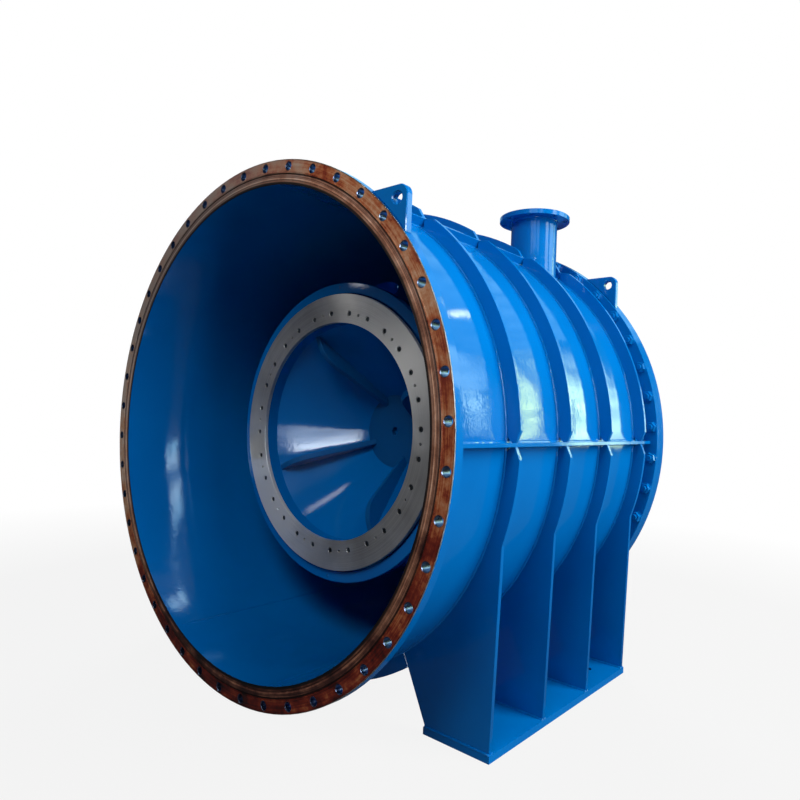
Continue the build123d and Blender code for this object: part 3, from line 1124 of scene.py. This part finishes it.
@dataclass
class Stiffening(SubAssembly):
    """Ring ribs and the bars between them."""

    edge_mm: float = 1.2
    rib_count: int = 4
    bar_half: float = 7 * MM

    def build(self, shop: Workshop) -> None:
        """Dresses ribs and bars and welds them to the shell.

        Args:
            shop: Shared workshop.
        """
        ribs = [f"rib_{i}" for i in range(1, self.rib_count + 1)]
        bars = [f"{level}_bar_{side}" for level in ("side", "upper") for side in SIDES]
        shop.paint(ribs + bars, self.edge_mm)
        shell = measure("shell_lower").outer
        faces = [y for rib in map(measure, ribs) for y in (rib.front, rib.back)]
        shop.weld("rib_welds", [ring_line(shell, y) for y in faces])
        shop.weld("bar_welds", [line for bar in bars for line in self.bar_lines(bar, shell)])

    def bar_lines(self, bar: str, shell: float) -> list[Line]:
        """Works out the lines on both sides of a bar's foot.

        Args:
            bar: Name of the bar.
            shell: Outer radius of the shell.
        Returns:
            One line for each side.
        """
        low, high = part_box(bar)
        middle = (low + high) / 2 - CENTRE
        turn = math.atan2(middle.z, middle.x)
        half = self.bar_half / shell
        return [[spoke_point(shell, t, y) for y in (low.y, high.y)] for t in (turn - half, turn + half)]


@dataclass
class Stand(SubAssembly):
    """Leg plates and base plates."""

    edge_mm: float = 1.0
    leg_count: int = 4

    def build(self, shop: Workshop) -> None:
        """Dresses legs and base plates and welds the legs' feet.

        Args:
            shop: Shared workshop.
        """
        legs = [f"leg_{side}_{i}" for side in SIDES for i in range(1, self.leg_count + 1)]
        bases = [f"base_plate_{side}" for side in SIDES]
        shop.paint(legs, self.edge_mm)
        shop.paint(bases)
        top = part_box(bases[0])[1].z
        lines = []
        for leg in legs:
            feet = [v.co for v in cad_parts[leg].data.vertices if v.co.z < top + MM]
            ends = (min(p.x for p in feet), max(p.x for p in feet))
            for y in sorted({round(p.y, 4) for p in feet}):
                lines.append([Vector((x, y, top)) for x in ends])
        shop.weld("foot_welds", lines)


@dataclass
class Lifting(SubAssembly):
    """Lifting lugs on the flanges' rims."""

    edge_mm: float = 3.0

    def build(self, shop: Workshop) -> None:
        """Dresses the lugs with what a workshop holds."""
        shop.paint([f"lug_{end}_right" for end in ("front", "rear")], self.edge_mm)


@dataclass
class AirVents(SubAssembly):
    """Upright vent stubs with their flanges."""

    edge_mm: float = 1.5
    weld_steps: int = 72

    def build(self, shop: Workshop) -> None:
        """Dresses each vent about its own upright axis and welds its saddle and its flange.

        Args:
            shop: Shared workshop.
        """
        shell = measure("shell_lower").outer
        turns = [FULL_TURN * step / self.weld_steps for step in range(self.weld_steps + 1)]
        lines = []
        for side in SIDES:
            low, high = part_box(f"vent_pipe_{side}")
            centre = (low + high) / 2
            names = [f"vent_pipe_{side}", f"vent_flange_{side}"]
            shop.paint(names, self.edge_mm, centre=centre, axis=Z_AXIS)
            radius = (high.x - low.x) / 2
            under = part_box(names[1])[0].z
            rim = [(centre.x + radius * math.cos(t), centre.y + radius * math.sin(t)) for t in turns]
            lines.append([Vector((x, y, CENTRE.z + math.sqrt(shell ** 2 - x ** 2))) for x, y in rim])
            lines.append([Vector((x, y, under)) for x, y in rim])
        shop.weld("vent_welds", lines)


@dataclass
class Cone(SubAssembly):
    """Hollow cone with its fins, tip plate, retaining ring and ring screws."""

    ring_edge_mm: float = 1.0
    fin_edge_mm: float = 1.5
    screw: SocketScrew = SocketScrew()
    screw_count: int = 28
    screw_edge: float = 81 * MM
    screw_sink: float = 2.5 * MM

    def build(self, shop: Workshop) -> None:
        """Dresses the cone and sets the screws into the ring's counterbores.

        Args:
            shop: Shared workshop.
        """
        shop.paint(("cone",))
        # Painted shade: the tip plate and fins get the darker dull enamel
        shop.paint(("cone_tip_plate", "cone_fins"), self.fin_edge_mm, satin=True)
        ring = dressed_copy("retaining_ring", self.ring_edge_mm)
        set_finish(ring, shop.finishes.stainless)
        shop.finish(ring, Body.VALVE, Slot.STAINLESS)
        span = measure("retaining_ring")
        quarter_pitch = 360 / self.screw_count / 4
        shop.ring_of("ring_screws", self.screw.build("ring_screw"), self.screw_count,
                     span.outer - self.screw_edge, span.front + self.screw_sink, quarter_pitch,
                     shop.finishes.screw, Slot.STAINLESS)


@dataclass
class WaterPassage(SubAssembly):
    """Body tube, vanes, hub, inlet flange and guide strips."""

    edge_mm: float = 1.5
    vane_count: int = 4

    def build(self, shop: Workshop) -> None:
        """Dresses the passage.

        Args:
            shop: Shared workshop.
        """
        shop.paint(("body_tube", "vane_hub"))
        vanes = [f"vane_{i}" for i in range(1, self.vane_count + 1)]
        shop.paint(vanes + ["inlet_flange"], self.edge_mm)
        guides = dressed_copy("sleeve_guides")
        set_finish(guides, shop.finishes.bronze)
        shop.finish(guides, Body.VALVE, Slot.BRONZE)


@dataclass
class Sleeve(SubAssembly):
    """Sliding sleeve with the plugs in its ring."""

    edge_mm: float = 2.0
    plug: SocketScrew = SocketScrew(7 * MM, 6 * MM, socket_flats=7 * MM, socket_depth=4 * MM)
    plug_count: int = 2
    plug_inset: float = 18 * MM
    plug_standout: float = 1 * MM
    first_plug: float = 90.0

    def build(self, shop: Workshop) -> None:
        """Dresses the sleeve and sets a plug at its top and at its foot.

        Args:
            shop: Shared workshop.
        """
        shop.paint(("sleeve",), self.edge_mm, Body.SLEEVE)
        span = measure("sleeve")
        # Painted shade: the plugs get the darker dull enamel
        shop.ring_of("sleeve_plugs", self.plug.build("sleeve_plug"), self.plug_count,
                     span.outer - self.plug_inset, span.front - self.plug_standout, self.first_plug,
                     shop.finishes.satin, Slot.PAINT, Body.SLEEVE)


# Studio


@dataclass(frozen=True)
class Panel:
    """A soft panel that hangs at a place and faces its aim."""

    name: str
    place: Point
    aim: Point
    size: tuple[float, float]
    roll: float = 0.0

    def turn(self) -> Matrix:
        """Rotation that faces the panel to its aim and rolls it in its plane."""
        facing = (Vector(self.aim) - Vector(self.place)).to_track_quat("-Z", "Y").to_matrix()
        return facing @ Matrix.Rotation(math.radians(self.roll), 3, "Z")


@dataclass(frozen=True)
class Lamp(Panel):
    """A panel that lights the valve and stays out of its gloss."""

    watts: float = 100.0
    colour: str = WHITE


@dataclass(frozen=True)
class Sheet(Panel):
    """A pale sheet that only gloss on its aim's side shows, coloured across and fading from foot to top."""

    strength: float = 1.0
    stops: Stops = ((0.0, WHITE), (1.0, WHITE))
    fade: tuple[float, float] = (1.0, 1.0)
    fade_from: tuple[float, float] = (0.4, 0.9)
    fold_mm: float = 400.0
    fold: float = 0.0
    fold_from: tuple[float, float] = (0.35, 0.65)


def even(code: str) -> Stops:
    """Stops of a sheet of one colour."""
    return ((0.0, code), (1.0, code))


@dataclass
class Studio:
    """Pale floor, soft light, dark flags beside the stage and the camera at the photograph's angle."""

    image_px: float = 800.0
    focal_px: float = 641.15
    principal_px: tuple[float, float] = (412.741, 395.975)
    sensor_mm: float = 36.0
    camera_place: Point = (2.0333, -2.26536, 1.09379)
    azimuth: float = 40.972
    elevation: float = -1.575
    roll: float = -2.327
    view_end: float = 200.0
    floor_grey: str = "#6a6a6a"
    floor_roughness: float = 0.9
    floor_half: float = 30.0
    floor_glow: Range = (2.5, 5.0, 0.88, 1.0)
    surround: str = "#c6daff"
    surround_level: float = 0.035
    flag_radius: float = 9.0
    flag_height: float = 4.8
    flag_roof_end: float = 2.5
    flag_steps: int = 48
    flag_grey: str = "#3e4144"
    lamps: tuple[Lamp, ...] = (
        Lamp("sky_panel", (5.8, 1.4, 5.6), (0.0, 0.1, 1.0), (3.2, 5.0), watts=820.0, colour="#fff9ec"),
        Lamp("side_fill", (8.3, -1.3, 2.4), (0.0, -0.4, 0.9), (3.0, 3.0), watts=350.0, colour="#eef4ff"),
        Lamp("front_top", (1.5, -3.6, 4.1), (0.0, -0.6, 0.9), (2.0, 2.0), watts=120.0),
        Lamp("rear_fill", (-3.6, 5.8, 4.8), (0.0, 0.2, 1.0), (3.2, 3.2), watts=820.0),
    )
    sheets: tuple[Sheet, ...] = (
        Sheet("front_box", (3.1, -3.1, 1.79), (-0.2, -0.2, 1.0), (1.0, 1.76), strength=16.0,
              stops=even("#e6f4ff"), fade=(0.4, 1.3), fold=0.35),
        Sheet("roof_strip", (-0.32, -0.755, 1.8), (-0.19, -0.27, 0.69), (0.1, 0.28), strength=4.0,
              fold_mm=25.0, fold=0.8),
        Sheet("side_gap", (4.94, 2.6, 3.35), (0.49, 0.33, 1.95), (5.0, 1.4), strength=4.0, fold=0.3,
              stops=((0.0, "#000000"), (0.05, "#f4ffe4"), (0.3, "#e8fff0"), (0.36, "#304048"),
                     (0.46, "#203038"), (0.52, "#d0f0ec"), (0.9, "#b0e0e8"), (1.0, "#304048"))),
        Sheet("vent_card", (1.08, -0.48, 2.23), (0.49, 0.327, 1.95), (0.8, 0.3), strength=1.4,
              stops=((0.0, "#000000"), (0.1, "#d8f4ff"), (0.55, "#d8f4ff"), (0.6, "#203040"),
                     (0.75, "#d8f4ff"), (0.9, "#d8f4ff"), (1.0, "#000000")), fold_mm=50.0, fold=0.7),
        Sheet("front_card", (-0.9, -3.4, 2.15), (0.0, -0.4, 1.1), (0.8, 0.6), strength=3.0),
        Sheet("vent_light", (-0.49, 0.327, 1.775), (0.0, 0.327, 1.008), (0.16, 0.16), strength=6.0,
              stops=even("#a0e0ff"), fold_mm=90.0, fold=0.8),
        Sheet("ring_glint", (-0.55, -0.472, 0.903), (-0.87, -0.66, 0.78), (0.125, 0.06), roll=90.0,
              strength=7.0, stops=((0.0, "#a0e0ff"), (0.3, "#c8ecff"), (0.5, "#305070"),
                                   (0.7, "#c8ecff"), (1.0, "#a0e0ff")), fold_mm=30.0, fold=0.4),
        Sheet("bay_spot", (1.8, 2.35, 3.6), (0.83, -0.68, 1.41), (0.26, 0.14), strength=10.0,
              stops=even("#f0ffe0")),
        Sheet("sky_sheet", (0.0, 7.5, 4.75), (0.0, 7.5, 0.0), (20.0, 10.0), stops=even("#9bdcff"), fold=0.4),
        Sheet("yard_sheet", (5.1, 6.6, 3.05), (5.1, 0.0, 3.05), (6.2, 4.3), roll=-11.0, strength=12.0,
              stops=((0.0, "#94b8b0"), (0.16, "#a8ccc4"), (0.25, "#b0d4c8"), (0.39, "#a0c4b8"),
                     (0.43, "#202428"), (0.488, "#30342c"), (0.517, "#d0f060"), (0.572, "#d4f288"),
                     (0.614, "#30342c"), (0.656, "#282c2c"), (0.676, "#b4d890"), (0.732, "#b4d8a0"),
                     (0.746, "#202428"), (0.773, "#9cbc94"), (0.815, "#9cbca0"), (0.843, "#101010")),
              fade=(1.0, 0.15), fold=0.45),
    )

    def build(self) -> None:
        """Builds floor, flags, world, lamps, sheets and camera."""
        self.add_floor()
        self.add_flags()
        self.add_world()
        for lamp in self.lamps:
            self.add_lamp(lamp)
        for sheet in self.sheets:
            self.add_sheet(sheet)
        self.add_camera()

    def stage_material(self, mesh: Mesh, name: str) -> NodeTree:
        """Gives a stage mesh a new material.

        Args:
            mesh: Mesh of the stage.
            name: Name of the material.
        Returns:
            Tree of the material.
        """
        material = bpy.data.materials.new(name)
        material.use_nodes = True
        mesh.materials.append(material)
        return material.node_tree

    def background(self, tree: NodeTree) -> Node:
        """Adds a switch that is 1 for rays that show the background: seen, mirrored or seen through.

        Args:
            tree: Tree of a material or the world.
        Returns:
            Node of the switch.
        """
        path = add_node(tree, "ShaderNodeLightPath").outputs
        seen = add_node(tree, "ShaderNodeMath", {0: path["Is Camera Ray"], 1: path["Is Glossy Ray"]},
                        operation="MAXIMUM")
        return add_node(tree, "ShaderNodeMath", {0: seen, 1: path["Is Transmission Ray"]},
                        operation="MAXIMUM")

    def add_floor(self) -> None:
        """Lays a pale floor that keeps the valve's shadow and runs out to white."""
        half = self.floor_half
        corners = [(-half, -half, 0), (half, -half, 0), (half, half, 0), (-half, half, 0)]
        mesh = plain_mesh("studio_floor", corners, [(0, 1, 2, 3)])
        tree = self.stage_material(mesh, "pale_studio_floor")
        add = partial(add_node, tree)
        shader = tree.nodes["Principled BSDF"]
        wire(tree, shader, {"Base Color": linear(self.floor_grey), "Roughness": self.floor_roughness})
        glow = add("ShaderNodeEmission", {"Color": linear(WHITE), "Strength": 1.0})
        place = add("ShaderNodeTexCoord").outputs["Object"]
        reach = add("ShaderNodeVectorMath", {0: place}, operation="LENGTH")
        fade = add("ShaderNodeMapRange", {"Value": reach, RANGE: self.floor_glow})
        share = add("ShaderNodeMath", {0: self.background(tree), 1: fade}, operation="MULTIPLY")
        blend = add("ShaderNodeMixShader", {0: share, 1: shader, 2: glow})
        wire(tree, tree.nodes["Material Output"], {"Surface": blend})
        link_piece(mesh, "studio_floor")

    def add_flags(self) -> None:
        """Hangs a dark curtain and roof round the stage and lays a dark cloth, which only gloss shows."""
        steps, reach, top = self.flag_steps, self.flag_radius, self.flag_height
        turns = [FULL_TURN * i / steps for i in range(steps)]
        points = [(reach * math.cos(t), reach * math.sin(t), z) for z in (MM, top) for t in turns]
        faces = [(i, (i + 1) % steps, (i + 1) % steps + steps, i + steps) for i in range(steps)]
        faces.append(tuple(range(steps)))
        faces.append(tuple(range(len(points), len(points) + 4)))
        back = self.flag_roof_end
        points += [(-reach, -reach, top), (reach, -reach, top), (reach, back, top), (-reach, back, top)]
        mesh = plain_mesh("dark_flags", points, faces)
        tree = self.stage_material(mesh, "dark_studio_flag")
        glow = add_node(tree, "ShaderNodeEmission", {"Color": linear(self.flag_grey), "Strength": 1.0})
        wire(tree, tree.nodes["Material Output"], {"Surface": glow})
        self.gloss_only(link_piece(mesh, "dark_flags"))

    def gloss_only(self, piece: Object) -> None:
        """Keeps a stage piece out of everything but reflections.

        Args:
            piece: Piece of the stage.
        """
        piece.visible_camera = False
        piece.visible_diffuse = False
        piece.visible_shadow = False
        piece.visible_transmission = False

    def add_sheet(self, sheet: Sheet) -> None:
        """Hangs a pale sheet that gloss shows.

        Args:
            sheet: Sheet to hang.
        """
        square = ((0, 0), (1, 0), (1, 1), (0, 1))
        width, height = sheet.size
        corners = [Vector(sheet.place) + sheet.turn() @ Vector(((u - 0.5) * width, (v - 0.5) * height, 0.0))
                   for u, v in square]
        mesh = plain_mesh(sheet.name, corners, [(0, 1, 2, 3)])
        for loop, corner in zip(mesh.uv_layers.new(name="sheet").data, square):
            loop.uv = corner
        tree = self.stage_material(mesh, sheet.name + "_cloth")
        add = partial(add_node, tree)
        coords = add("ShaderNodeTexCoord").outputs
        across_up = add("ShaderNodeSeparateXYZ", {0: coords["UV"]}).outputs
        colour = add("ShaderNodeValToRGB", {"Fac": across_up["X"]}, sheet.stops)
        glows = [sheet.strength * share for share in sheet.fade]
        dim = add("ShaderNodeMapRange", {"Value": across_up["Y"], RANGE: (*sheet.fade_from, *glows)})
        fold = add("ShaderNodeTexNoise", {
            "Vector": coords["Object"], "Scale": per_metre(sheet.fold_mm), "Detail": 3.0})
        crease = add("ShaderNodeMapRange", {
            "Value": fold, RANGE: (*sheet.fold_from, 1.0 - sheet.fold, 1.0 + sheet.fold)})
        level = add("ShaderNodeMath", {0: dim, 1: crease}, operation="MULTIPLY")
        side = add("ShaderNodeNewGeometry").outputs["Backfacing"]
        aimed = add("ShaderNodeMath", {0: level, 1: side}, operation="MULTIPLY")
        glow = add("ShaderNodeEmission", {"Color": colour, "Strength": aimed})
        wire(tree, tree.nodes["Material Output"], {"Surface": glow})
        self.gloss_only(link_piece(mesh, sheet.name))

    def add_world(self) -> None:
        """Makes a soft surround that shows as white."""
        world = bpy.data.worlds.new("studio_surround")
        world.use_nodes = True
        tree = world.node_tree
        switch = self.background(tree)
        level = add_node(tree, "ShaderNodeMapRange", {
            "Value": switch, "To Min": self.surround_level, "To Max": 1.0})
        tint = add_node(tree, "ShaderNodeMix", {
            "Factor": switch, "A": linear(self.surround), "B": linear(WHITE)}, data_type="RGBA")
        wire(tree, tree.nodes["Background"], {"Color": tint, "Strength": level})
        bpy.context.scene.world = world

    def add_lamp(self, lamp: Lamp) -> None:
        """Hangs a soft lamp.

        Args:
            lamp: Lamp to hang.
        """
        light = bpy.data.lights.new(lamp.name, "AREA")
        light.shape = "RECTANGLE"
        light.size, light.size_y = lamp.size
        light.energy = lamp.watts
        light.color = linear(lamp.colour)[:3]
        holder = bpy.data.objects.new(lamp.name, light)
        holder.matrix_world = Matrix.Translation(lamp.place) @ lamp.turn().to_4x4()
        holder.visible_camera = False
        holder.visible_glossy = False
        bpy.context.scene.collection.objects.link(holder)

    def add_camera(self) -> None:
        """Sets the camera where the photograph was taken from."""
        azimuth, elevation, roll = map(math.radians, (self.azimuth, self.elevation, self.roll))
        level = math.cos(elevation)
        forward = Vector((-math.sin(azimuth) * level, math.cos(azimuth) * level, -math.sin(elevation)))
        flat_right = forward.cross(Vector((0, 0, 1))).normalized()
        flat_down = forward.cross(flat_right)
        right = math.cos(roll) * flat_right + math.sin(roll) * flat_down
        down = math.cos(roll) * flat_down - math.sin(roll) * flat_right
        camera = bpy.data.cameras.new("photo_camera")
        camera.sensor_fit = "HORIZONTAL"
        camera.sensor_width = self.sensor_mm
        camera.lens = self.focal_px / self.image_px * self.sensor_mm
        camera.shift_x = 0.5 - self.principal_px[0] / self.image_px
        camera.shift_y = self.principal_px[1] / self.image_px - 0.5
        camera.clip_end = self.view_end
        view = bpy.data.objects.new("photo_camera", camera)
        turn = Matrix((right, -down, -forward)).transposed().to_4x4()
        view.matrix_world = Matrix.Translation(self.camera_place) @ turn
        bpy.context.scene.collection.objects.link(view)
        bpy.context.scene.camera = view


def write_sizes() -> None:
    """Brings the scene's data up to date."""
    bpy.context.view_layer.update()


def main() -> None:
    """Builds the studio and every sub-assembly in order."""
    logging.basicConfig(level=logging.INFO, format="%(name)s: %(message)s")
    bpy.context.scene.view_settings.view_transform = "Standard"
    Studio().build()
    shop = Workshop(Finishes.build())
    assemblies: list[SubAssembly] = [
        DischargeFlange(), Shell(), Stiffening(), Stand(), Lifting(), AirVents(), Cone(), WaterPassage(),
        Sleeve()]
    for assembly in assemblies:
        assembly.build(shop)
    log.info("%d pieces dressed", len(shop.pieces))
    write_sizes()


if __name__ == "__main__":
    main()
